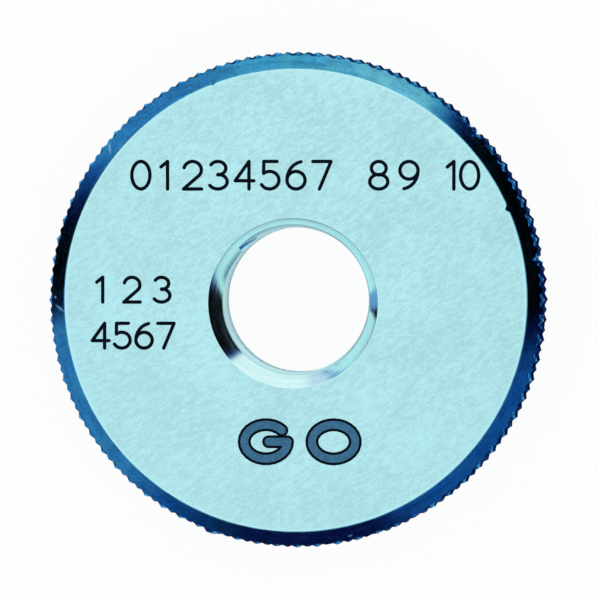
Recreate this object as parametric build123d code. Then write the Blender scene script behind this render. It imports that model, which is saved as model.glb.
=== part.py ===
from build123d import *

import os
from math import ceil, cos, pi, radians, sin, tan

# A go thread ring gauge: one hardened steel ring, turned all over, with a diamond knurl on its rim
# and a threaded bore that opens into a countersink at each end.
#
# Frame: the ring lies on its lower end face. +Z runs up the bore's axis, the origin is where that
# axis meets the lower end face, and the marked end face is the upper one.
#
# The gauging thread is too fine to model here, so the bore is plain, at the thread's crests.

# Driving dimensions, in millimetres and degrees.
outside_diameter = 32.0  # over the knurl's crests
ring_thickness = 8.0  # from one end face to the other
edge_chamfer = 1.1  # width of the outer chamfer, measured across the end face
edge_chamfer_slope = 45.0  # between the outer chamfer and the end face
thread_diameter = 10.0  # major diameter of the gauging thread
thread_pitch = 0.75
countersink_margin = 0.95  # mouth of the countersink, in diameter, over the thread's major diameter
countersink_slope = 45.0  # between the countersink and the end face
knurl_pitch = 1.15  # from one groove to the next, square to the grooves
knurl_angle = 30.0  # between each groove and the ring's axis
knurl_depth = 0.3  # from the crests down to where two grooves cross

# An internal thread's crests lie 5/8 of the height of its sharp 60 degree triangle inside its major
# diameter, on each side.
THREAD_FLANK_ANGLE = 60.0
CREST_TO_MAJOR = 5 / 8
sharp_thread_height = thread_pitch / 2 / tan(radians(THREAD_FLANK_ANGLE / 2))
bore_diameter = thread_diameter - 2 * CREST_TO_MAJOR * sharp_thread_height

crest_radius = outside_diameter / 2
face_radius = crest_radius - edge_chamfer
bore_radius = bore_diameter / 2
mouth_radius = (thread_diameter + countersink_margin) / 2
countersink_depth = (mouth_radius - bore_radius) * tan(radians(countersink_slope))

# The two sets of grooves cross in a net of diamonds: half_diamonds of them are counted round the
# rim by half widths, and up it by half heights, on both sides of the middle of the rim.
diamonds_round = round(2 * pi * crest_radius * cos(radians(knurl_angle)) / knurl_pitch)
diamond_width = 2 * pi * crest_radius / diamonds_round
half_height = diamond_width / tan(radians(knurl_angle)) / 2
half_widths_round = 2 * diamonds_round
rows_each_way = ceil(ring_thickness / 2 / half_height)


def turned_blank():
    """The ring as turned, before its rim is knurled. Its chamfers run on past the knurl's crests."""
    overrun = knurl_depth
    overrun_drop = (edge_chamfer + overrun) * tan(radians(edge_chamfer_slope))
    outline = Polyline(
        (bore_radius, countersink_depth),
        (mouth_radius, 0),
        (face_radius, 0),
        (crest_radius + overrun, overrun_drop),
        (crest_radius + overrun, ring_thickness - overrun_drop),
        (face_radius, ring_thickness),
        (mouth_radius, ring_thickness),
        (bore_radius, ring_thickness - countersink_depth),
        close=True,
    )
    return revolve(Plane.XZ * make_face(outline), Axis.Z)


def knurl_point(across, up):
    """A point of the diamond net: a crest where across and up add to an even number, else a crossing."""
    is_crest = (across + up) % 2 == 0
    radius = crest_radius if is_crest else crest_radius - knurl_depth
    angle = 2 * pi * (across % half_widths_round) / half_widths_round
    return Vector(radius * cos(angle), radius * sin(angle), ring_thickness / 2 + up * half_height)


def flat_triangle(*corners):
    return Face(Wire.make_polygon(corners))


def diamond(across, up):
    """The four flat flanks of the blunt pyramid that the grooves leave round one crest."""
    crest = knurl_point(across, up)
    crossings = [
        knurl_point(across + 1, up),
        knurl_point(across, up + 1),
        knurl_point(across - 1, up),
        knurl_point(across, up - 1),
    ]
    return [
        flat_triangle(crest, crossings[side], crossings[(side + 1) % 4]) for side in range(4)
    ]


def knurled_bar():
    """A solid bar with the diamond knurl all over its side, longer than the ring is thick."""
    flanks = []
    for up in range(-rows_each_way, rows_each_way + 1):
        for across in range(up % 2, half_widths_round, 2):
            flanks += diamond(across, up)

    ends = []
    for edge_row, outer_row in (
        (rows_each_way, rows_each_way + 1),
        (-rows_each_way, -rows_each_way - 1),
    ):
        centre = Vector(0, 0, knurl_point(0, outer_row).Z)
        first = edge_row % 2
        for across in range(first, half_widths_round, 2):
            tip = knurl_point(across, outer_row)
            ends.append(flat_triangle(centre, knurl_point(across - 1, edge_row), tip))
            ends.append(flat_triangle(centre, tip, knurl_point(across + 1, edge_row)))
    return Solid(Shell(flanks + ends))


def gauge_ring():
    return turned_blank() & knurled_bar()


os.makedirs("parts", exist_ok=True)
export_step(gauge_ring(), "parts/gauge_ring.step")
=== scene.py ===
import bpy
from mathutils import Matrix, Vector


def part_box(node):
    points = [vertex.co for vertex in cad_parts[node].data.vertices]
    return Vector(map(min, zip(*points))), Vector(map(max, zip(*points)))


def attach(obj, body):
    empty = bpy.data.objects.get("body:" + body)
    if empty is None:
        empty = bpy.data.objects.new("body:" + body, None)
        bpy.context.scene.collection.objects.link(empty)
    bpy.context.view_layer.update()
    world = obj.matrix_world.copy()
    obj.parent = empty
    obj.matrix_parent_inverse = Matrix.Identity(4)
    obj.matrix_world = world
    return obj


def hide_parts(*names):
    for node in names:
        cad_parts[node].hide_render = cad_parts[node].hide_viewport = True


bl_info = {
    "name": "Thread ring gauge",
    "version": (1, 0, 0),
    "blender": (4, 5, 0),
    "location": "View3D > Sidebar > Ring Gauge",
    "description": "Makes the dressed thread ring gauge and a plain studio round it",
    "category": "Object",
}

from math import atan2, cos, pi, radians, sin, tan

import bmesh
import bpy
import numpy as np
from bpy.props import FloatProperty, FloatVectorProperty, IntProperty, PointerProperty
from mathutils import Matrix, Vector
from mathutils.geometry import delaunay_2d_cdt

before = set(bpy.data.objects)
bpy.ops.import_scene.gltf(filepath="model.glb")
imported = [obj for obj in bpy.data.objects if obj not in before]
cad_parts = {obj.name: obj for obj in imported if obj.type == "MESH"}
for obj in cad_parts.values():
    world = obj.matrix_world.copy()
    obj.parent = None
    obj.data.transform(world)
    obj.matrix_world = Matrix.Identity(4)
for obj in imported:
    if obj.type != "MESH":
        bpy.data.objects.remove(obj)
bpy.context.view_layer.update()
RING_LOW, RING_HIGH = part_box("gauge_ring")

MM = 0.001
FULL_TURN = 2 * pi
SHARP_FROM = radians(17.0)  # the angle between two faces from which their edge is shaded sharp

# The ring's finishes, in the order of its material slots.
GROUND, TURNED, KNURLED, SUNK, THREADED, PAINTED, FILLED = range(7)


def colour(red, green, blue):
    """A screen colour, each part from 0 to 255, as the linear colour that Blender's sockets hold."""
    parts = []
    for part in (red, green, blue):
        share = part / 255
        if share <= 0.04045:
            parts.append(share / 12.92)
        else:
            parts.append(((share + 0.055) / 1.055) ** 2.4)
    return tuple(parts)


def length_property(name, description, default):
    return FloatProperty(
        name=name,
        description=description,
        default=default,
        min=0.0,
        unit="LENGTH",
        precision=5,
    )


def colour_property(name, description, default):
    return FloatVectorProperty(
        name=name,
        description=description,
        default=default,
        size=3,
        min=0.0,
        max=1.0,
        subtype="COLOR",
    )


class RingSizes(bpy.types.PropertyGroup):
    """The ring's sizes, which repeat the ones that its solid was made to."""

    outside_diameter: length_property(
        "Outside diameter", "Over the knurl's crests", RING_HIGH.x - RING_LOW.x
    )
    thickness: length_property(
        "Thickness", "From one end face to the other", RING_HIGH.z - RING_LOW.z
    )
    edge_chamfer: length_property(
        "Outer chamfer", "Its width, measured across the end face", 1.1 * MM
    )
    edge_break: length_property(
        "Edge break", "The small flat where a face meets a chamfer", 0.035 * MM
    )
    thread_diameter: length_property(
        "Thread diameter", "The thread's major diameter", 10.0 * MM
    )
    thread_pitch: length_property("Thread pitch", "From one crest to the next", 0.75 * MM)
    countersink_margin: length_property(
        "Countersink margin", "The mouth's diameter, over the thread's major diameter", 0.95 * MM
    )
    knurl_depth: length_property(
        "Knurl depth", "From the crests down to where two grooves cross", 0.3 * MM
    )
    knurl_angle: FloatProperty(
        name="Knurl angle",
        description="Between each groove and the ring's axis",
        default=radians(30.0),
        subtype="ANGLE",
    )
    diamonds_round: IntProperty(
        name="Diamonds",
        description="Knurl diamonds counted once round the rim",
        default=76,
        min=12,
    )
    mark_height: length_property("Mark height", "The height of the upper row of numbers", 2.0 * MM)
    mark_stroke: length_property("Mark stroke", "The width of the numbers' strokes", 0.23 * MM)
    mark_depth: length_property("Mark depth", "How deep the marks are cut", 0.07 * MM)


class RingColours(bpy.types.PropertyGroup):
    """The colours of the ring's finishes."""

    ground: colour_property("Ground faces", "The two end faces", colour(173, 221, 226))
    turned_green: colour_property("Turned tint", "Patches on the chamfers", colour(110, 194, 200))
    turned: colour_property("Outer chamfers", "The turned chamfers", colour(89, 173, 203))
    # Crests paler by wear and painted glints, grooves darker by oxide and painted shade.
    knurl_crest: colour_property("Knurl crests", "The rubbed tips", colour(160, 214, 244))
    knurl_groove: colour_property("Knurl grooves", "Down in the grooves", colour(118, 186, 236))
    sunk: colour_property("Countersinks", "The cones at the mouths", colour(213, 251, 252))
    thread_crest: colour_property("Thread crests", "The thread's crests", colour(196, 240, 244))
    # The roots' darker colour is painted shade.
    thread_root: colour_property("Thread roots", "The thread's roots", colour(150, 196, 212))
    mark_paint: colour_property("Mark paint", "The paint in the marks", colour(2, 12, 26))
    mark_fill: colour_property("Mark fill", "The lighter middle", colour(62, 112, 146))


class StudioSettings(bpy.types.PropertyGroup):
    """The camera, and the cards that the bright metal mirrors."""

    camera_distance: length_property("Camera distance", "From the upper face", 1.0)
    camera_lens: FloatProperty(
        name="Lens", description="Focal length", default=936.9, min=1.0, unit="CAMERA"
    )
    lean_right: FloatProperty(
        name="Lean right",
        description="How far the camera leans towards +X",
        default=radians(3.05),
        subtype="ANGLE",
    )
    lean_back: FloatProperty(
        name="Lean back",
        description="How far the camera leans towards +Y",
        default=radians(0.65),
        subtype="ANGLE",
    )
    card_radius: length_property("Card radius", "The ring of cards' radius", 22.0 * MM)
    card_height: length_property("Card height", "The ring of cards' height", 15.0 * MM)
    card_slant: FloatProperty(
        name="Card slant",
        description="How far the cards' edges lean round the ring, in radians for each metre up",
        default=38.0,
    )
    white_card: colour_property("White card", "The brightest card", (1.0, 1.0, 1.0))
    sky_card: colour_property("Sky card", "The pale blue card", (0.37, 0.67, 0.84))
    blue_card: colour_property("Blue card", "The blue cards", (0.18, 0.37, 0.65))
    deep_card: colour_property("Deep card", "The deep blue cards", (0.04, 0.14, 0.41))
    navy_card: colour_property("Navy card", "The darkest blue cards", (0.012, 0.01, 0.075))
    black_card: colour_property("Black card", "The black cards", (0.001, 0.001, 0.002))


# ---------------------------------------------------------------------------------- the mesh


class Skin:
    """The points, faces and finishes of one closed mesh, worked out in millimetres."""

    def __init__(self):
        self.points = []
        self.faces = []
        self.finishes = []

    def add_point(self, x, y, z):
        self.points.append((x, y, z))
        return len(self.points) - 1

    def add_line(self, angles, radii, heights):
        """Adds one point for each angle, radius and height, and gives their numbers."""
        return [
            self.add_point(radius * cos(angle), radius * sin(angle), height)
            for angle, radius, height in zip(angles, radii, heights)
        ]

    def add_face(self, corners, finish):
        self.faces.append(corners)
        self.finishes.append(finish)

    def as_mesh(self, name):
        """Makes the mesh, in metres, and stops if it isn't closed."""
        mesh = bpy.data.meshes.new(name)
        scaled = [(x * MM, y * MM, z * MM) for x, y, z in self.points]
        mesh.from_pydata(scaled, [], self.faces)
        mesh.polygons.foreach_set("material_index", self.finishes)
        mesh.polygons.foreach_set("use_smooth", [True] * len(self.faces))
        mesh.update()
        check = bmesh.new()
        check.from_mesh(mesh)
        open_edges = sum(1 for edge in check.edges if not edge.is_manifold)
        check.free()
        if open_edges:
            raise RuntimeError(f"{name}: {open_edges} edges don't join two faces")
        return mesh


class RingShape:
    """The ring's sizes in millimetres, and what follows from them."""

    # An internal thread's crests lie 5/8 of the height of its sharp 60 degree triangle inside
    # its major diameter. Its crest flats are a quarter and its root flats an eighth of the pitch.
    THREAD_HALF_ANGLE = radians(30.0)
    CREST_TO_MAJOR = 5 / 8
    CREST_FLAT = 1 / 4
    ROOT_FLAT = 1 / 8

    # How far the thread's crests are worn back, and how far round the thread is turned.
    CREST_WORN = 0.08
    THREAD_START = radians(28.0)

    # The upper countersink: how far its axis lies off the ring's and towards which azimuth, the
    # slope of its cone, and how much flatter the cone is on one side, in a stretch and in a dent.
    # The last two are placed in degrees, as in Wear.
    UPPER_RUNOUT = 0.24
    RUNOUT_AZIMUTH = radians(229.0)
    UPPER_SLOPE = radians(45.0)
    UPPER_TILT = radians(1.5)
    TILT_AZIMUTH = radians(13.0)
    UPPER_LEAN = radians(2.9)
    LEAN_STRETCH = (233.0, 48.0, 28.0)
    UPPER_DENT = radians(2.4)
    DENT_DIP = (-2.0, 14.0)

    # The mouths' edge breaks, across the face and down the cone, as shares of the outer ones.
    MOUTH_BREAK_ACROSS = 0.4
    MOUTH_BREAK_DOWN = 0.28

    STEPS_TO_HALF_DIAMOND = 6
    BORE_COLUMNS = 304

    def __init__(self, sizes):
        self.outer = sizes.outside_diameter / MM / 2
        self.thickness = sizes.thickness / MM
        self.chamfer = sizes.edge_chamfer / MM
        self.edge_break = sizes.edge_break / MM
        self.major = sizes.thread_diameter / MM / 2
        self.pitch = sizes.thread_pitch / MM
        self.mouth = self.major + sizes.countersink_margin / MM / 2
        self.knurl_depth = sizes.knurl_depth / MM
        self.half_widths = 2 * sizes.diamonds_round
        self.face = self.outer - self.chamfer
        sharp_height = self.pitch / 2 / tan(self.THREAD_HALF_ANGLE)
        self.minor = self.major - self.CREST_TO_MAJOR * sharp_height + self.CREST_WORN
        half_width = FULL_TURN * self.outer / self.half_widths
        self.half_height = half_width / tan(sizes.knurl_angle)
        self.columns = self.half_widths * self.STEPS_TO_HALF_DIAMOND
        self.mark_height = sizes.mark_height / MM
        self.mark_stroke = sizes.mark_stroke / MM
        self.mark_depth = sizes.mark_depth / MM


def away_from(angle, centre_degrees):
    """How far each angle is from a centre, in degrees, the short way round."""
    turned = np.degrees(angle) - centre_degrees
    return np.abs((turned + 180.0) % 360.0 - 180.0)


def hump(distance, half_width):
    """One in the middle, and smoothly down to nothing at the half width."""
    inside = np.clip(1.0 - distance / half_width, 0.0, 1.0)
    return inside * inside * (3.0 - 2.0 * inside)


def plateau(distance, half_width, fade):
    """One as far as the half width, and then smoothly down to nothing over the fade."""
    inside = np.clip((half_width + fade - distance) / fade, 0.0, 1.0)
    return inside * inside * (3.0 - 2.0 * inside)


def dip(angle, azimuth, half_width):
    """A hump round an azimuth, all in degrees but the angle."""
    return hump(away_from(angle, azimuth), half_width)


def stretch(angle, azimuth, half_width, fade):
    """A plateau round an azimuth, all in degrees but the angle."""
    return plateau(away_from(angle, azimuth), half_width, fade)


def band(height, middle, half_width, fade):
    """A plateau round a height."""
    return plateau(abs(height - middle), half_width, fade)


class Wear:
    """The knurl's unevenness, and the wear. Lengths are in millimetres.

    A stretch is an azimuth, a half width and a fade in degrees, and a dip has no fade. A band is a
    height, a half width and a fade. A cut or nick is a depth, an azimuth and a half width.
    """

    TOOTH_SEED = 10
    TOOTH_ROWS = 32
    SHORTEST_BY = 0.035  # how far the shortest tooth may fall short

    FLANK_POWER = 0.85  # below one, so that the flanks are slightly hollow

    # The grooves' flare starts this far from the rim's middle. It is widest round +X.
    FLARE_START = 2.78
    FLARE_SLOPE = 0.26
    FLARE_HALF_WIDTH = 0.32  # in half diamonds
    FLARE_LEAST = 0.3  # its share on the other side
    FLARE_STRETCH = (0.0, 30.0, 25.0)

    # Where the teeth are rubbed down to a low wave: how far, and the wave's parts, each with its
    # height, its count round the rim and its phase.
    RUBBED_STRETCH = (271.0, 24.0, 7.0)
    RUBBED_BY = 0.05
    RUBBED_WAVES = ((0.05, 31.0, 0.0), (0.04, 67.0, 1.0))

    # A crest smeared across to the next, and a burr.
    SMEAR_STRETCH = (354.9, 1.2, 0.4)
    SMEAR_BAND = (5.1, 0.1, 0.1)
    BURR_DIP = (249.5, 1.9)
    BURR_BAND = (6.6, 0.3, 0.5)
    BURR_RISE = 0.3

    # A cut between two teeth, then a tooth with two bits broken out.
    CUTS = ((0.36, 9.6, 0.95), (0.34, 42.9, 0.9), (0.3, 45.2, 0.85))

    # Two nicks in the upper face's outer edge, and how far they drop for each bit that they
    # reach in.
    NICKS = ((0.18, 23.3, 1.0), (0.1, 111.0, 0.7))
    NICK_DROP = 0.35


def short_teeth_of(shape):
    """How far each tooth of the knurl falls short of the full height."""
    dice = np.random.default_rng(Wear.TOOTH_SEED)
    return dice.uniform(0.0, Wear.SHORTEST_BY, (Wear.TOOTH_ROWS, shape.half_widths))


def knurl_radius(shape, short_teeth, angle, height):
    """The radius of the knurled rim, with its uneven teeth and its wear."""
    across = angle / FULL_TURN * shape.half_widths
    up = (height - shape.thickness / 2) / shape.half_height
    first_way = across + up
    second_way = across - up
    first_crest = 2.0 * np.round(first_way / 2.0)
    second_crest = 2.0 * np.round(second_way / 2.0)
    from_crest = np.maximum(np.abs(first_way - first_crest), np.abs(second_way - second_crest))
    fall = from_crest**Wear.FLANK_POWER

    # The grooves flare where they run out into the chamfers, less so on the side away from +X.
    from_valley = np.abs(across - np.floor(across) - 0.5)
    past_end = np.clip(np.abs(height - shape.thickness / 2) - Wear.FLARE_START, 0.0, None)
    rubbed = stretch(angle, *Wear.RUBBED_STRETCH)
    least = Wear.FLARE_LEAST
    side = least + (1.0 - least) * stretch(angle, *Wear.FLARE_STRETCH)
    open_by = hump(from_valley, Wear.FLARE_HALF_WIDTH)
    flare = Wear.FLARE_SLOPE * side * (1.0 - rubbed) * past_end * open_by

    crest_across = ((first_crest + second_crest) / 2).astype(int) % shape.half_widths
    crest_row = ((first_crest - second_crest) / 2).astype(int) % len(short_teeth)
    short = short_teeth[crest_row, crest_across]
    radius = shape.outer - shape.knurl_depth * fall - short * (1.0 - from_crest) - flare

    wave = sum(rise * np.sin(angle * count + phase) for rise, count, phase in Wear.RUBBED_WAVES)
    worn_down = shape.outer - Wear.RUBBED_BY + wave
    radius = radius - rubbed * np.clip(radius - worn_down, 0.0, None)

    smear = stretch(angle, *Wear.SMEAR_STRETCH) * band(height, *Wear.SMEAR_BAND)
    radius = radius + smear * np.clip(shape.outer - radius, 0.0, None)
    burr = dip(angle, *Wear.BURR_DIP) * band(height, *Wear.BURR_BAND)
    radius = np.minimum(radius + Wear.BURR_RISE * burr, shape.outer)
    for depth, azimuth, half_width in Wear.CUTS:
        radius = radius - depth * dip(angle, azimuth, half_width)
    return radius


def chamfer_meets_knurl(shape, rim, angle):
    """The height at which the upper chamfer runs out into the knurl, on each line of the rim."""
    search_below = 0.3
    halvings = 40
    low = np.full_like(angle, shape.thickness - shape.chamfer - search_below)
    high = np.full_like(angle, shape.thickness)
    for _ in range(halvings):
        middle = (low + high) / 2
        cone = shape.face + shape.thickness - middle
        under_cone = cone > rim(angle, middle)
        low = np.where(under_cone, middle, low)
        high = np.where(under_cone, high, middle)
    return (low + high) / 2


def face_edge_nicks(angle):
    """How far the small nicks reach into the upper face at its outer edge."""
    return sum(depth * dip(angle, azimuth, width) for depth, azimuth, width in Wear.NICKS)


def outer_rows(shape, angle):
    """The rows of points round the outside, from the lower face's edge up to the upper one's."""
    short_teeth = short_teeth_of(shape)
    no_nicks = np.zeros_like(angle)

    def rim(at, height):
        return knurl_radius(shape, short_teeth, at, height)

    def lower_rim(at, height):
        return rim(at, shape.thickness - height)

    def half(surface, nicks):
        """Rows from the middle of the strip beside the knurl up to the face's edge."""
        crease = chamfer_meets_knurl(shape, surface, angle)
        last_net_row = shape.thickness / 2 + net_rows * net_step
        rows = []
        strip_rows = 4
        for row in range(1, strip_rows + 1):
            height = last_net_row + (crease - last_net_row) * row / strip_rows
            rows.append((surface(angle, height), height, KNURLED))
        break_on_chamfer = 0.7 * shape.edge_break
        start = shape.face + break_on_chamfer
        crease_radius = rows[-1][0]
        chamfer_rows = 4
        for row in range(1, chamfer_rows + 1):
            share = row / chamfer_rows
            radius = crease_radius + (start - crease_radius) * share
            height = shape.thickness - (radius - shape.face)
            in_last_third = max(0.0, 3.0 * share - 2.0)
            dent = nicks * in_last_third
            rows.append((radius - dent, height - Wear.NICK_DROP * dent, TURNED))
        edge = shape.face - shape.edge_break - nicks
        rows.append((edge, np.full_like(angle, shape.thickness), TURNED))
        return rows

    net_step = shape.half_height / shape.STEPS_TO_HALF_DIAMOND
    clear_of_chamfer = 0.02
    reach = shape.thickness / 2 - shape.chamfer - clear_of_chamfer
    net_rows = int(reach / net_step)
    upper = half(rim, face_edge_nicks(angle))
    lower = half(lower_rim, no_nicks)
    rows = []
    for radius, height, finish in reversed(lower):
        rows.append((radius, shape.thickness - height, finish))
    first_net = len(rows)
    for number in range(-net_rows, net_rows + 1):
        height = np.full_like(angle, shape.thickness / 2 + number * net_step)
        rows.append((rim(angle, height), height, KNURLED))
    last_net = len(rows) - 1
    rows += upper
    return rows, first_net, last_net, net_rows


def groove_slants(shape, column, row):
    """Whether the groove nearest to a cell of the knurl's net runs up to the right."""
    across = (column + 0.5) / shape.STEPS_TO_HALF_DIAMOND
    up = (row + 0.5) / shape.STEPS_TO_HALF_DIAMOND
    first_way = across + up
    second_way = across - up
    from_first = abs(first_way - 2 * round(first_way / 2))
    from_second = abs(second_way - 2 * round(second_way / 2))
    return from_second > from_first


def add_outside(skin, shape):
    """Adds the knurled rim and both outer chamfers, and gives the two face edges."""
    angle = np.arange(shape.columns) * FULL_TURN / shape.columns
    rows, first_net, last_net, net_rows = outer_rows(shape, angle)
    lines = [skin.add_line(angle, radius, height) for radius, height, _ in rows]
    for row in range(len(lines) - 1):
        below = lines[row]
        above = lines[row + 1]
        finish = rows[row + 1][2] if row >= last_net else rows[row][2]
        in_net = first_net <= row < last_net
        for column in range(shape.columns):
            right = (column + 1) % shape.columns
            corners = (below[column], below[right], above[right], above[column])
            if not in_net:
                skin.add_face(corners, finish)
                continue
            if groove_slants(shape, column, row - first_net - net_rows):
                skin.add_face((corners[0], corners[1], corners[2]), finish)
                skin.add_face((corners[0], corners[2], corners[3]), finish)
            else:
                skin.add_face((corners[0], corners[1], corners[3]), finish)
                skin.add_face((corners[1], corners[2], corners[3]), finish)
    return lines[0], lines[-1]


def cone_radius(shape, angle, height):
    """The radius of the nearer countersink. The upper one is off the axis and uneven."""
    off_axis = shape.UPPER_RUNOUT * cos(angle - shape.RUNOUT_AZIMUTH)
    leaning = shape.UPPER_TILT * cos(angle - shape.TILT_AZIMUTH)
    leaning += shape.UPPER_LEAN * float(stretch(angle, *shape.LEAN_STRETCH))
    leaning += shape.UPPER_DENT * float(dip(angle, *shape.DENT_DIP))
    slope = tan(shape.UPPER_SLOPE + leaning)
    upper = shape.mouth + off_axis - slope * (shape.thickness - height)
    lower = shape.mouth - height
    return np.where(height > shape.thickness / 2, upper, lower)


def bore_line(shape, angle):
    """Heights, radii and whether each point is on a countersink, up one line of the bore."""
    flank = (1 - shape.CREST_FLAT - shape.ROOT_FLAT) / 2
    parts = (0.0, shape.CREST_FLAT, shape.CREST_FLAT + flank, 1.0 - flank)
    part_radii = (shape.minor, shape.minor, shape.major, shape.major)
    turns = int(shape.thickness / shape.pitch) + 3
    start = (angle + shape.THREAD_START) / FULL_TURN * shape.pitch
    knots = np.array(
        [start + (turn + part) * shape.pitch for turn in range(-2, turns) for part in parts]
    )
    radii = np.array(part_radii * (turns + 2))

    clear_of_cone = 1e-4
    heights = [
        knot
        for knot, radius in zip(knots, radii)
        if 0 < knot < shape.thickness
        and radius > cone_radius(shape, angle, knot) + clear_of_cone
    ]
    crossings = []
    for low, high, low_radius, high_radius in zip(knots, knots[1:], radii, radii[1:]):
        if low < 0 or high > shape.thickness:
            continue
        low_gap = low_radius - cone_radius(shape, angle, low)
        high_gap = high_radius - cone_radius(shape, angle, high)
        if (low_gap > 0) != (high_gap > 0):
            crossings.append(low + (high - low) * low_gap / (low_gap - high_gap))
    bevel = shape.MOUTH_BREAK_DOWN * shape.edge_break
    ends = [bevel, shape.thickness - bevel]
    points = []
    for height in heights:
        points.append((height, np.interp(height, knots, radii), False))
    for height in crossings + ends:
        points.append((height, float(cone_radius(shape, angle, height)), True))
    points.sort()
    return points


def add_bore(skin, shape):
    """Adds the thread and both countersinks, and gives the two mouths."""
    columns = shape.BORE_COLUMNS
    angle = np.arange(columns) * FULL_TURN / columns
    mouth_break = shape.MOUTH_BREAK_ACROSS * shape.edge_break
    lower = [shape.mouth + mouth_break] * columns
    upper = [float(cone_radius(shape, at, shape.thickness)) + mouth_break for at in angle]
    lower_mouth = skin.add_line(angle, lower, [0.0] * columns)
    upper_mouth = skin.add_line(angle, upper, [shape.thickness] * columns)
    lines = []
    for column in range(columns):
        points = bore_line(shape, angle[column])
        heights = [point[0] for point in points]
        numbers = skin.add_line([angle[column]] * len(points), [p[1] for p in points], heights)
        line = [(0.0, lower_mouth[column], True)]
        line += [(p[0], number, p[2]) for p, number in zip(points, numbers)]
        line.append((shape.thickness, upper_mouth[column], True))
        lines.append(line)
    for column in range(columns):
        left = lines[column]
        right = lines[(column + 1) % columns]
        at_left = 0
        at_right = 0
        while at_left < len(left) - 1 or at_right < len(right) - 1:
            left_next = left[at_left + 1][0] if at_left < len(left) - 1 else np.inf
            right_next = right[at_right + 1][0] if at_right < len(right) - 1 else np.inf
            if left_next <= right_next:
                corners = (left[at_left], left[at_left + 1], right[at_right])
                at_left += 1
            else:
                corners = (left[at_left], right[at_right + 1], right[at_right])
                at_right += 1
            on_cone = all(corner[2] for corner in corners)
            middle = sum(corner[0] for corner in corners) / 3
            near_mouth = min(middle, shape.thickness - middle) < shape.mouth - shape.minor
            finish = SUNK if on_cone and near_mouth else THREADED
            skin.add_face(tuple(corner[1] for corner in corners), finish)
    return lower_mouth, upper_mouth


# ---------------------------------------------------------------------------------- the marks


def arc(centre_x, centre_y, across, up, start, end):
    """Points on part of an oval, from one angle to another in degrees."""
    degrees_a_step = 14
    steps = max(3, round(abs(end - start) / degrees_a_step))
    return [
        (
            centre_x + across * cos(radians(start + (end - start) * step / steps)),
            centre_y + up * sin(radians(start + (end - start) * step / steps)),
        )
        for step in range(steps + 1)
    ]


def oval(centre_x, centre_y, across, up):
    """An oval, as two strokes that overlap where they meet."""
    return [
        arc(centre_x, centre_y, across, up, -5, 185),
        arc(centre_x, centre_y, across, up, 175, 365),
    ]


def turned_over(strokes, width):
    return [[(width - x, 1.0 - y) for x, y in stroke] for stroke in strokes]


def figure_strokes():
    """The strokes of each figure, in a cell 0.66 wide and 1 high."""
    six = [arc(0.62, 0.33, 0.62, 0.67, 100, 180)] + oval(0.33, 0.32, 0.33, 0.32)
    return {
        "0": oval(0.33, 0.5, 0.33, 0.5),
        "1": [[(0.12, 0.8), (0.36, 1.0), (0.36, 0.0)]],
        "2": [arc(0.33, 0.69, 0.32, 0.31, 165, -35) + [(0.0, 0.0), (0.66, 0.0)]],
        "3": [
            arc(0.31, 0.755, 0.29, 0.245, 150, -90),
            arc(0.31, 0.265, 0.34, 0.265, 90, -150),
        ],
        "4": [[(0.5, 0.0), (0.5, 1.0), (0.0, 0.3), (0.68, 0.3)]],
        "5": [[(0.58, 1.0), (0.1, 1.0)] + arc(0.31, 0.32, 0.34, 0.32, 130, -150)],
        "6": six,
        "7": [[(0.0, 1.0), (0.66, 1.0), (0.24, 0.0)]],
        "8": oval(0.33, 0.755, 0.27, 0.245) + oval(0.33, 0.265, 0.33, 0.265),
        "9": turned_over(six, 0.66),
        "G": [arc(0.5, 0.5, 0.5, 0.5, 42, 360) + [(0.56, 0.5)]],
        "O": oval(0.5, 0.5, 0.5, 0.5),
    }


def headings_of(path):
    """Which way each piece of a path runs."""
    return [
        atan2(after[1] - before[1], after[0] - before[0])
        for before, after in zip(path, path[1:])
    ]


def turn_between(before, after):
    """The turn from one heading to the next, the short way round."""
    return (after - before + pi) % FULL_TURN - pi


def split_at_corners(path):
    """The runs between a path's sharp corners, each of which is cut as a stroke of its own."""
    sharp = radians(40.0)
    headings = headings_of(path)
    runs = []
    start = 0
    for joint in range(1, len(path) - 1):
        if abs(turn_between(headings[joint - 1], headings[joint])) > sharp:
            runs.append(path[start : joint + 1])
            start = joint
    runs.append(path[start:])
    return runs


def stroke_outline(path, width):
    """The outline of a stroke with round ends, as points in order round it."""
    half = width / 2
    headings = headings_of(path)
    joints = []
    for before, after in zip(headings, headings[1:]):
        turn = turn_between(before, after)
        joints.append((before + turn / 2, turn))

    def side(sign):
        points = []
        for (x, y), (heading, turn) in zip(path[1:-1], joints):
            reach = half / cos(turn / 2)
            points.append((x - sign * reach * sin(heading), y + sign * reach * cos(heading)))
        return points

    def cap(point, heading):
        return [
            (
                point[0] + half * cos(heading + radians(turned)),
                point[1] + half * sin(heading + radians(turned)),
            )
            for turned in range(-90, 91, 30)
        ]

    right = side(-1)
    left = side(1)
    start = cap(path[0], headings[0] + pi)
    end = cap(path[-1], headings[-1])
    return start + right + end + left[::-1]


class Marks:
    """The strokes cut into the upper face: outlines in millimetres, and the finish of each."""

    def __init__(self):
        self.outlines = []
        self.finishes = []

    def write(self, text, left, right, base, height, stroke, finish, slim=1.0):
        """Spreads the figures of a text evenly between two sides."""
        figures = figure_strokes()
        cells = [figures[letter] for letter in text]
        widths = [1.0 if letter in "GO" else 0.66 for letter in text]
        room = (right - left) - height * sum(widths) * slim
        gap = room / max(1, len(text) - 1)
        x = left
        for cell, width in zip(cells, widths):
            for path in cell:
                placed = [(x + px * height * slim, base + py * height) for px, py in path]
                for run in split_at_corners(placed):
                    self.outlines.append(stroke_outline(run, stroke))
                    self.finishes.append(finish)
            x += width * height * slim + gap


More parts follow.
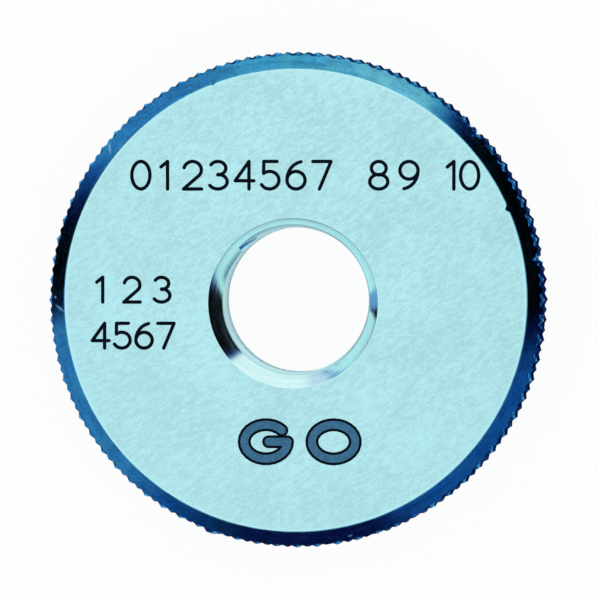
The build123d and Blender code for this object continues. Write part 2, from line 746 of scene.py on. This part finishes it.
def ring_marks(shape):
    """The plain numbers and the word on the upper face."""
    marks = Marks()
    stroke = shape.mark_stroke
    inset = stroke / 2
    tall = shape.mark_height - stroke
    base = 7.03 + inset
    marks.write("01234567", -10.65 + inset, 2.4 - inset, base, tall, stroke, PAINTED)
    marks.write("89", 4.66 + inset, 8.0 - inset, base, tall, stroke, PAINTED)
    marks.write("10", 9.55, 11.9 - inset, base, tall, stroke, PAINTED)
    small = 0.9 * tall
    marks.write("123", -13.1 + inset, -7.95 - inset, -0.24 + inset, small, stroke, PAINTED)
    marks.write("4567", -13.2 + inset, -7.7 - inset, -3.2 + inset, small, stroke, PAINTED)
    bold = 0.84
    outline = 0.17
    word = {"left": -3.3, "right": 3.85, "base": -10.2, "height": 2.2, "slim": 1.27}
    marks.write("GO", stroke=bold, finish=PAINTED, **word)
    marks.write("GO", stroke=bold - 2 * outline, finish=FILLED, **word)
    return marks


def add_end_face(skin, edge, mouth, height, facing_up, marks, mark_depth):
    """Adds one end face between its outer edge and the bore's mouth, with the marks cut into it."""
    flat = [Vector(skin.points[number][:2]) for number in edge + mouth]
    rim_numbers = edge + mouth
    loops = [list(range(len(edge))), list(range(len(edge), len(flat)))]
    for outline in marks.outlines:
        loops.append(list(range(len(flat), len(flat) + len(outline))))
        flat += [Vector(point) for point in outline]
    every_triangle = 0
    merge_within = 1e-6
    points, _, triangles, sources, _, regions = delaunay_2d_cdt(
        flat, [], loops, every_triangle, merge_within
    )

    fill_depth = 0.6 * mark_depth
    drops = {GROUND: 0.0, PAINTED: mark_depth, FILLED: fill_depth}
    numbers = {}

    def number_of(point, finish):
        key = (point, finish)
        if key not in numbers:
            on_rim = [s for s in sources[point] if s < len(rim_numbers)]
            if finish == GROUND and on_rim:
                numbers[key] = rim_numbers[on_rim[0]]
            else:
                x, y = points[point]
                numbers[key] = skin.add_point(x, y, height - drops[finish])
        return numbers[key]

    sides = {}
    for triangle, region in zip(triangles, regions):
        if 0 not in region or 1 in region:
            continue
        within = [marks.finishes[number - 2] for number in region if number > 1]
        finish = max(within) if within else GROUND
        corners = [number_of(point, finish) for point in triangle]
        skin.add_face(tuple(corners if facing_up else corners[::-1]), finish)
        for start, end in zip(triangle, triangle[1:] + triangle[:1]):
            sides[start, end] = finish
    for (start, end), finish in sides.items():
        across = sides.get((end, start), finish)
        if drops[across] <= drops[finish]:
            continue
        skin.add_face(
            (
                number_of(end, finish),
                number_of(start, finish),
                number_of(start, across),
                number_of(end, across),
            ),
            PAINTED,
        )


# ---------------------------------------------------------------------------------- materials


class Value:
    """A socket of a node tree. Python's arithmetic on it adds the Math nodes that work it out."""

    def __init__(self, sheet, socket):
        self.sheet = sheet
        self.socket = socket

    def math(self, operation, first, second):
        return self.sheet.add("ShaderNodeMath", {"operation": operation}, {0: first, 1: second})

    def __add__(self, other):
        return self.math("ADD", self, other)

    def __radd__(self, other):
        return self.math("ADD", other, self)

    def __sub__(self, other):
        return self.math("SUBTRACT", self, other)

    def __rsub__(self, other):
        return self.math("SUBTRACT", other, self)

    def __mul__(self, other):
        return self.math("MULTIPLY", self, other)

    def __rmul__(self, other):
        return self.math("MULTIPLY", other, self)

    def __truediv__(self, other):
        return self.math("DIVIDE", self, other)

    def __rtruediv__(self, other):
        return self.math("DIVIDE", other, self)

    def __pow__(self, other):
        return self.math("POWER", self, other)

    def __rpow__(self, other):
        return self.math("POWER", other, self)


class Sheet:
    """One node tree, and the ways in which nodes are added to it."""

    FACTOR, FIRST_COLOUR, SECOND_COLOUR, MIXED_COLOUR = 0, 6, 7, 2

    def __init__(self, tree):
        self.tree = tree
        tree.nodes.clear()

    def feed(self, socket, value):
        if isinstance(value, Value):
            self.tree.links.new(value.socket, socket)
        elif socket.type == "RGBA" and len(value) == 3:
            socket.default_value = (*value, 1.0)
        else:
            socket.default_value = value

    def add(self, kind, settings=None, sockets=None, output=0):
        """Adds a node, sets it, then feeds its sockets, and gives one of its outputs."""
        node = self.tree.nodes.new(kind)
        for name, value in (settings or {}).items():
            if name == "stops":
                self.set_stops(node.color_ramp.elements, value)
            else:
                setattr(node, name, value)
        for name, value in (sockets or {}).items():
            self.feed(node.inputs[name], value)
        return Value(self, node.outputs[output]) if node.outputs else None

    def set_stops(self, elements, stops):
        """Gives a ramp its stops, each a position and a colour."""
        while len(elements) > 1:
            elements.remove(elements[-1])
        elements[0].position = stops[0][0]
        elements[0].color = (*stops[0][1], 1.0)
        for position, tone in stops[1:]:
            elements.new(position).color = (*tone, 1.0)

    def parts(self, vector):
        """The three parts of a vector."""
        x = self.add("ShaderNodeSeparateXYZ", {}, {0: vector}, 0)
        node = x.socket.node
        return x, Value(self, node.outputs[1]), Value(self, node.outputs[2])

    def vector(self, x, y, z):
        return self.add("ShaderNodeCombineXYZ", {}, {0: x, 1: y, 2: z})

    def mix(self, factor, first, second):
        """A colour between two."""
        sockets = {
            self.FACTOR: factor,
            self.FIRST_COLOUR: first,
            self.SECOND_COLOUR: second,
        }
        return self.add("ShaderNodeMix", {"data_type": "RGBA"}, sockets, self.MIXED_COLOUR)

    def largest(self, first, *others):
        """The largest of some values."""
        for other in others:
            first = self.add("ShaderNodeMath", {"operation": "MAXIMUM"}, {0: first, 1: other})
        return first

    def shades(self, factor, tone, darker, lighter):
        """A tone made darker by one factor and lighter by another, and what lies between."""
        return self.mix(factor, shade(tone, darker), shade(tone, lighter))

    def rise(self, value, low, high):
        """Nothing below low, one above high, and smooth between them."""
        sockets = {"Value": value, "From Min": low, "From Max": high}
        return self.add("ShaderNodeMapRange", {"interpolation_type": "SMOOTHSTEP"}, sockets)

    def noise(self, vector, scale, detail, roughness=0.5):
        sockets = {
            "Vector": vector,
            "Scale": scale,
            "Detail": detail,
            "Roughness": roughness,
        }
        return self.add("ShaderNodeTexNoise", {}, sockets)

    def bump(self, height, strength, distance):
        sockets = {"Height": height, "Strength": strength, "Distance": distance}
        return self.add("ShaderNodeBump", {}, sockets, "Normal")


def new_material(name):
    """An empty material, and the sheet for its nodes."""
    material = bpy.data.materials.new(name)
    material.use_nodes = True
    return material, Sheet(material.node_tree)


class Surface:
    """A material's sheet, with the place of each surface point on the ring, in millimetres."""

    def __init__(self, name):
        self.material, self.sheet = new_material(name)
        place = self.sheet.add("ShaderNodeTexCoord", {}, {}, "Object")
        scaled = {0: place, "Scale": 1 / MM}
        self.place = self.sheet.add("ShaderNodeVectorMath", {"operation": "SCALE"}, scaled)
        self.x, self.y, self.z = self.sheet.parts(self.place)
        self.radius = (self.x * self.x + self.y * self.y) ** 0.5

    def turned_lines(self, per_mm):
        """Fine uneven lines round the axis, as a tool leaves them on a cone."""
        round_it = self.sheet.vector(self.x * 0.35, self.y * 0.35, self.z * per_mm)
        return self.sheet.noise(round_it, scale=1.0, detail=3.0, roughness=0.6)

    def patch(self, azimuth, radius, length, width, slant):
        """A small soft mark on a chamfer, lying at a slant to the line round the axis."""
        middle = radians(azimuth)
        from_x = self.x - radius * cos(middle)
        from_y = self.y - radius * sin(middle)
        lie = middle + pi / 2 + radians(slant)
        along = from_x * cos(lie) + from_y * sin(lie)
        across = from_y * cos(lie) - from_x * sin(lie)
        far = ((along / length) ** 2.0 + (across / width) ** 2.0) ** 0.5
        return 1.0 - self.sheet.rise(far, 0.3, 1.0)

    def finish(self, **sockets):
        """Ends the material in a Principled shader with these sockets."""
        named = {}
        for name, value in sockets.items():
            named[name.replace("_", " ").title().replace("Ior", "IOR")] = value
        shader = self.sheet.add("ShaderNodeBsdfPrincipled", {}, named)
        self.sheet.add("ShaderNodeOutputMaterial", {}, {"Surface": shader})
        return self.material


def shade(tone, times):
    """A colour made lighter or darker."""
    return tuple(min(1.0, part * times) for part in tone)


def ground_material(colours, shape):
    """The end faces: ground flat, with a fine leathery grain that lies at a slant, and a painted
    highlight along the outer edge.
    """
    surface = Surface("ground_steel")
    sheet = surface.sheet
    slant = (0.0, 0.0, radians(32.0))
    drawn_out = (2.2, 1.0, 1.0)
    lie = {"Vector": surface.place, "Rotation": slant, "Scale": drawn_out}
    slanted = sheet.add("ShaderNodeMapping", {"vector_type": "TEXTURE"}, lie)
    grain = sheet.noise(slanted, scale=3.4, detail=5.0, roughness=0.66)
    specks = sheet.noise(surface.place, scale=6.0, detail=2.0, roughness=0.6)
    clouds = sheet.noise(surface.place, scale=0.3, detail=2.0)
    tone = grain * 0.5 + specks * 0.3 + clouds * 0.2
    light = sheet.rise(tone, 0.39, 0.61)
    base = sheet.shades(light, colours.ground, 0.87, 1.1)
    # Painted highlight: the face grows paler towards its outer edge, as if the edge caught the
    # light.
    edge = sheet.rise(surface.radius, shape.face - 0.3, shape.face - 0.06)
    base = sheet.mix(edge * 0.5, base, shade(colours.ground, 1.16))
    bump = sheet.bump(grain * 0.7 + specks * 0.3, strength=0.6, distance=0.006 * MM)
    return surface.finish(
        base_color=base,
        metallic=1.0,
        roughness=0.46 + light * 0.1,
        normal=bump,
    )


def turned_material(colours, shape):
    """The outer chamfers: turned bright, with fine lines round the axis, and wear and painted glints
    on the upper.
    """
    surface = Surface("turned_steel")
    sheet = surface.sheet
    lines = surface.turned_lines(per_mm=6.5)
    cloud = sheet.noise(surface.place, scale=1.3, detail=3.0, roughness=0.6)
    specks = sheet.noise(surface.place, scale=6.5, detail=3.0, roughness=0.7)
    tone = sheet.rise(lines * 0.3 + cloud * 0.3 + specks * 0.4, 0.36, 0.64)
    base = sheet.shades(tone, colours.turned, 0.66, 1.3)
    greener = sheet.rise(sheet.noise(surface.place, scale=0.8, detail=3.0), 0.46, 0.66)
    base = sheet.mix(greener * 0.5, base, colours.turned_green)
    middle = shape.face + shape.chamfer / 2
    # The scratch and the smear are wear, paler than the chamfer. The two small pits are painted pale
    # as their glints: painted highlights.
    scratch = surface.patch(azimuth=140.9, radius=middle, length=0.55, width=0.1, slant=48.0)
    painted_glint = surface.patch(azimuth=179.3, radius=middle + 0.06, length=0.12, width=0.1, slant=0.0)
    smear = surface.patch(azimuth=182.0, radius=shape.face + 0.3, length=0.5, width=0.12, slant=50.0)
    chip_and_glint = surface.patch(azimuth=283.0, radius=middle + 0.1, length=0.22, width=0.08, slant=5.0)
    half_way_up = shape.thickness / 2
    on_upper = sheet.rise(surface.z, half_way_up - 0.1, half_way_up + 0.1)
    scars_and_glints = sheet.largest(scratch, painted_glint, smear * 0.8, chip_and_glint) * on_upper
    base = sheet.mix(scars_and_glints, base, shade(colours.ground, 1.2))
    bump = sheet.bump(lines, strength=0.8, distance=0.009 * MM)
    return surface.finish(
        base_color=base,
        metallic=1.0,
        roughness=0.16 + tone * 0.08 + scars_and_glints * 0.4,
        normal=bump,
    )


def knurl_material(colours, shape):
    """The knurl: blue steel, paler at its crests by wear and painted glints, and darker in its
    grooves by oxide and painted shade. The tint keeps it blue at a slant.
    """
    surface = Surface("knurled_steel")
    sheet = surface.sheet
    crossing = shape.outer - shape.knurl_depth
    # Paler towards the crests: partly rubbed steel and partly painted glints; the grooves' darker
    # colour is partly oxide and partly painted shade.
    rubbed = sheet.rise(surface.radius, crossing + 0.02, shape.outer - 0.03)
    grime = sheet.noise(surface.place, scale=2.4, detail=4.0, roughness=0.6)
    fine = sheet.noise(surface.place, scale=14.0, detail=2.0)
    bright = rubbed * 0.8 + grime * 0.5 - 0.22
    base = sheet.mix(sheet.rise(bright, 0.0, 1.0), colours.knurl_groove, colours.knurl_crest)
    bump = sheet.bump(grime * 0.6 + fine * 0.4, strength=0.6, distance=0.012 * MM)
    return surface.finish(
        base_color=base,
        metallic=1.0,
        roughness=0.1 + fine * 0.04,
        specular_tint=colours.knurl_groove,
        normal=bump,
    )


def sunk_material(colours):
    """The countersinks: turned, with fine bright and dark lines round the axis."""
    surface = Surface("countersunk_steel")
    sheet = surface.sheet
    lines = surface.turned_lines(per_mm=18.0)
    tone = sheet.rise(lines, 0.34, 0.66)
    base = sheet.shades(tone, colours.sunk, 0.86, 1.08)
    bump = sheet.bump(lines, strength=0.12, distance=0.006 * MM)
    return surface.finish(base_color=base, metallic=1.0, roughness=0.06 + tone * 0.05, normal=bump)


def thread_material(colours, shape):
    """The thread: lapped bright at its crests, and darker down in its roots by painted shade."""
    surface = Surface("threaded_steel")
    sheet = surface.sheet
    # Painted shade: the colour darkens down into the thread's roots.
    depth = sheet.rise(surface.radius, shape.minor + 0.03, shape.major)
    lines = surface.turned_lines(per_mm=10.0)
    lapped = sheet.shades(lines, colours.thread_crest, 0.9, 1.0)
    base = sheet.mix(depth, lapped, colours.thread_root)
    bump = sheet.bump(lines, strength=0.4, distance=0.004 * MM)
    return surface.finish(base_color=base, metallic=1.0, roughness=0.24 + depth * 0.2, normal=bump)


def paint_material(name, tone, lift):
    """Paint rubbed into the marks, a little uneven."""
    surface = Surface(name)
    sheet = surface.sheet
    uneven = sheet.noise(surface.place, scale=5.0, detail=3.0, roughness=0.6)
    light = sheet.rise(uneven, 0.35, 0.65)
    base = sheet.shades(light, tone, 1.0 - lift, 1.0 + lift)
    bump = sheet.bump(uneven, strength=0.5, distance=0.01 * MM)
    return surface.finish(
        base_color=base,
        specular_ior_level=0.05,
        roughness=0.6 + uneven * 0.15,
        normal=bump,
    )


class GAUGE_OT_ring(bpy.types.Operator):
    """Make the dressed ring: knurl, chamfers, thread, countersinks, faces and marks"""

    bl_idname = "gauge.ring"
    bl_label = "Make the ring"

    def execute(self, context):
        colours = context.scene.gauge_colours
        shape = RingShape(context.scene.gauge_sizes)
        skin = Skin()
        lower_edge, upper_edge = add_outside(skin, shape)
        lower_mouth, upper_mouth = add_bore(skin, shape)
        add_end_face(skin, lower_edge, lower_mouth, 0.0, False, Marks(), 0.0)
        add_end_face(
            skin,
            upper_edge,
            upper_mouth,
            shape.thickness,
            True,
            ring_marks(shape),
            shape.mark_depth,
        )
        mesh = skin.as_mesh("ring_gauge_body")
        mesh.set_sharp_from_angle(angle=SHARP_FROM)
        ring = bpy.data.objects.new("ring_gauge_body", mesh)
        context.scene.collection.objects.link(ring)
        finishes = {
            GROUND: ground_material(colours, shape),
            TURNED: turned_material(colours, shape),
            KNURLED: knurl_material(colours, shape),
            SUNK: sunk_material(colours),
            THREADED: thread_material(colours, shape),
            PAINTED: paint_material("mark_paint", colours.mark_paint, 0.35),
            FILLED: paint_material("mark_fill", colours.mark_fill, 0.16),
        }
        for number in sorted(finishes):
            mesh.materials.append(finishes[number])
        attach(ring, "root")
        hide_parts("gauge_ring")
        return {"FINISHED"}


# ---------------------------------------------------------------------------------- the stage


def background_ray(sheet):
    """One for the rays that show the background: the camera's, mirrored and passed through."""
    seen = sheet.add("ShaderNodeLightPath", {}, {}, "Is Camera Ray")
    outputs = seen.socket.node.outputs
    mirrored = Value(sheet, outputs["Is Glossy Ray"])
    passed = Value(sheet, outputs["Is Transmission Ray"])
    return sheet.largest(seen, mirrored, passed)


def floor_material():
    """A white floor that keeps a faint shadow."""
    material, sheet = new_material("studio_floor")
    matt = sheet.add("ShaderNodeBsdfDiffuse", {}, {"Color": (0.9, 0.9, 0.9)})
    glow = sheet.add("ShaderNodeEmission", {}, {"Color": (1.0, 1.0, 1.0), "Strength": 1.0})
    most_glow = 0.94
    shown = background_ray(sheet) * most_glow
    mixed = sheet.add("ShaderNodeMixShader", {}, {0: shown, 1: matt, 2: glow})
    sheet.add("ShaderNodeOutputMaterial", {}, {"Surface": mixed})
    return material


def light_world(scene, level):
    """A plain soft level of light from all round, behind which the background is white."""
    world = bpy.data.worlds.new("studio_world")
    world.use_nodes = True
    sheet = Sheet(world.node_tree)
    lit = sheet.add("ShaderNodeBackground", {}, {"Color": (1.0, 1.0, 1.0), "Strength": level})
    white = sheet.add("ShaderNodeBackground", {}, {"Color": (1.0, 1.0, 1.0), "Strength": 1.0})
    mixed = sheet.add("ShaderNodeMixShader", {}, {0: background_ray(sheet), 1: lit, 2: white})
    sheet.add("ShaderNodeOutputWorld", {}, {"Surface": mixed})
    scene.world = world


def card_material(name, tone):
    material, sheet = new_material(name)
    glow = sheet.add("ShaderNodeEmission", {}, {"Color": tuple(tone), "Strength": 1.0})
    sheet.add("ShaderNodeOutputMaterial", {}, {"Surface": glow})
    return material


def only_mirrored(card):
    """Leaves a card to the bright metal's reflections alone."""
    card.visible_camera = False
    card.visible_diffuse = False
    card.visible_shadow = False
    card.visible_transmission = False
    card.visible_volume_scatter = False


def stage_object(scene, name, points, faces, material):
    mesh = bpy.data.meshes.new(name)
    mesh.from_pydata(points, [], faces)
    mesh.materials.append(material)
    made = bpy.data.objects.new(name, mesh)
    scene.collection.objects.link(made)
    return made


def wall_material(studio):
    """The cards' tones round the ring, each fading into the next."""
    black, navy, deep = studio.black_card, studio.navy_card, studio.deep_card
    blue, sky, white = studio.blue_card, studio.sky_card, studio.white_card
    # How many degrees round the ring each tone is reached. It fades from one to the next.
    tones = (
        (0, black),
        (42, black),
        (47, navy),
        (50, deep),
        (54, sky),
        (58, white),
        (70, white),
        (88, sky),
        (102, sky),
        (113, blue),
        (128, blue),
        (140, shade(blue, 1.25)),
        (147, deep),
        (155, navy),
        (161, black),
        (177, black),
        (181, navy),
        (185, blue),
        (222, blue),
        (234, deep),
        (246, shade(deep, 0.4)),
        (256, navy),
        (288, navy),
        (301, deep),
        (340, deep),
        (351, navy),
        (356, black),
    )
    material, sheet = new_material("card_wall")
    place = sheet.add("ShaderNodeTexCoord", {}, {}, "Object")
    x, y, z = sheet.parts(place)
    angle = sheet.add("ShaderNodeMath", {"operation": "ARCTAN2"}, {0: y, 1: x})
    slanted = (z - RING_HIGH.z) * studio.card_slant
    turn = sheet.add(
        "ShaderNodeMath", {"operation": "FRACT"}, {0: (angle + slanted) / FULL_TURN + 1.0}
    )
    stops = [(azimuth / 360, tuple(tone)) for azimuth, tone in tones]
    tone = sheet.add("ShaderNodeValToRGB", {"stops": stops}, {0: turn})

    # At the back, the cards' upper parts are whiter, the more so the paler the card is.
    _, green, _ = sheet.parts(tone)
    behind = sheet.rise(y, 0.45 * studio.card_radius, 0.7 * studio.card_radius)
    paler = sheet.rise(z, 9.2 * MM, 9.8 * MM) * sheet.rise(green, 0.0, 0.6) * behind
    tone = sheet.mix(paler, tone, studio.white_card)
    glow = sheet.add("ShaderNodeEmission", {}, {"Color": tone, "Strength": 1.0})
    sheet.add("ShaderNodeOutputMaterial", {}, {"Surface": glow})
    return material


def add_band(scene, name, profile, material):
    """A band all round the axis, through the radii and heights of a profile."""
    steps = 120
    points = []
    for step in range(steps):
        angle = FULL_TURN * step / steps
        points += [(radius * cos(angle), radius * sin(angle), height) for radius, height in profile]
    faces = []
    across = len(profile)
    for step in range(steps):
        here = step * across
        there = (step + 1) % steps * across
        for side in range(across - 1):
            faces.append((here + side, there + side, there + side + 1, here + side + 1))
    band = stage_object(scene, name, points, faces, material)
    only_mirrored(band)
    return band


class GAUGE_OT_studio(bpy.types.Operator):
    """Make the stage: floor, light, cards that the metal mirrors, and the camera"""

    bl_idname = "gauge.studio"
    bl_label = "Make the stage"

    WORLD_LEVEL = 0.8
    LAMP_SIZE = 0.22
    LAMP_POWER = 0.18
    LAMP_PLACE = (-0.1, -0.17, 0.37)

    WALL_LOW_EDGE = 4 * MM
    # A dark ring on the floor beside the ring, shifted away from the lamp: a painted shadow, seen
    # only in reflections.
    SHADOW_CARD_RADII = (16.0 * MM, 18.7 * MM)
    SHADOW_CARD_SHIFT = 0.5 * MM
    FLOOR_DROP = 0.02 * MM

    # The point of the upper face that the camera looks at.
    AIM_X = 0.228 * MM
    AIM_Y = 0.077 * MM

    def execute(self, context):
        scene = context.scene
        studio = scene.gauge_studio
        self.add_floor(scene)
        light_world(scene, self.WORLD_LEVEL)
        self.add_lamp(scene)
        self.add_cards(scene, studio)
        self.add_camera(scene, studio)
        scene.view_settings.view_transform = "Standard"
        return {"FINISHED"}

    def add_floor(self, scene):
        """A wide round floor, a hair below the ring so that the two never share a plane."""
        reach = 12.0
        corners = 64
        low = -self.FLOOR_DROP
        points = [
            (reach * cos(FULL_TURN * n / corners), reach * sin(FULL_TURN * n / corners), low)
            for n in range(corners)
        ]
        stage_object(scene, "studio_floor", points, [tuple(range(corners))], floor_material())

    def add_lamp(self, scene):
        lamp = bpy.data.lights.new("soft_lamp", "AREA")
        lamp.shape = "DISK"
        lamp.size = self.LAMP_SIZE
        lamp.energy = self.LAMP_POWER
        placed = bpy.data.objects.new("soft_lamp", lamp)
        placed.location = self.LAMP_PLACE
        placed.rotation_euler = (-placed.location).to_track_quat("-Z", "Y").to_euler()
        scene.collection.objects.link(placed)

    def add_cards(self, scene, studio):
        """The wall of cards that the chamfers mirror, and a painted shadow on the floor that the
        teeth mirror.
        """
        wall = ((studio.card_radius, self.WALL_LOW_EDGE), (studio.card_radius, studio.card_height))
        add_band(scene, "card_wall", wall, wall_material(studio))
        off_floor = 0.05 * MM
        shadow_profile = [(radius, off_floor) for radius in self.SHADOW_CARD_RADII]
        card = add_band(scene, "mirrored_shadow_card", shadow_profile, card_material("mirrored_shadow_card", studio.navy_card))
        card.location.x = self.SHADOW_CARD_SHIFT

    def add_camera(self, scene, studio):
        camera = bpy.data.cameras.new("camera")
        camera.lens = studio.camera_lens
        camera.sensor_width = 36.0
        camera.clip_start = 0.01
        camera.clip_end = 30.0
        placed = bpy.data.objects.new("camera", camera)
        target = Vector((self.AIM_X, self.AIM_Y, RING_HIGH.z))
        right = studio.lean_right
        back = studio.lean_back
        heading = Vector((sin(right), sin(back) * cos(right), cos(right) * cos(back)))
        placed.location = target + heading * studio.camera_distance
        across = Vector((0.0, 1.0, 0.0)).cross(heading).normalized()
        axes = Matrix((across, heading.cross(across), heading)).transposed()
        placed.rotation_euler = axes.to_euler()
        scene.collection.objects.link(placed)
        scene.camera = placed


class GAUGE_PT_panel(bpy.types.Panel):
    """Lists the gauge's operators, sizes and colours"""

    bl_label = "Ring gauge"
    bl_idname = "GAUGE_PT_panel"
    bl_space_type = "VIEW_3D"
    bl_region_type = "UI"
    bl_category = "Ring Gauge"

    def draw(self, context):
        scene = context.scene
        layout = self.layout
        layout.operator(GAUGE_OT_ring.bl_idname)
        layout.operator(GAUGE_OT_studio.bl_idname)
        for group in (scene.gauge_sizes, scene.gauge_colours, scene.gauge_studio):
            box = layout.box()
            for name in group.__annotations__:
                box.prop(group, name)


CLASSES = (
    RingSizes,
    RingColours,
    StudioSettings,
    GAUGE_OT_ring,
    GAUGE_OT_studio,
    GAUGE_PT_panel,
)


def register():
    for item in CLASSES:
        bpy.utils.register_class(item)
    bpy.types.Scene.gauge_sizes = PointerProperty(type=RingSizes)
    bpy.types.Scene.gauge_colours = PointerProperty(type=RingColours)
    bpy.types.Scene.gauge_studio = PointerProperty(type=StudioSettings)


def unregister():
    del bpy.types.Scene.gauge_studio
    del bpy.types.Scene.gauge_colours
    del bpy.types.Scene.gauge_sizes
    for item in reversed(CLASSES):
        bpy.utils.unregister_class(item)


def main():
    register()
    bpy.ops.gauge.ring()
    bpy.ops.gauge.studio()


if __name__ == "__main__":
    main()
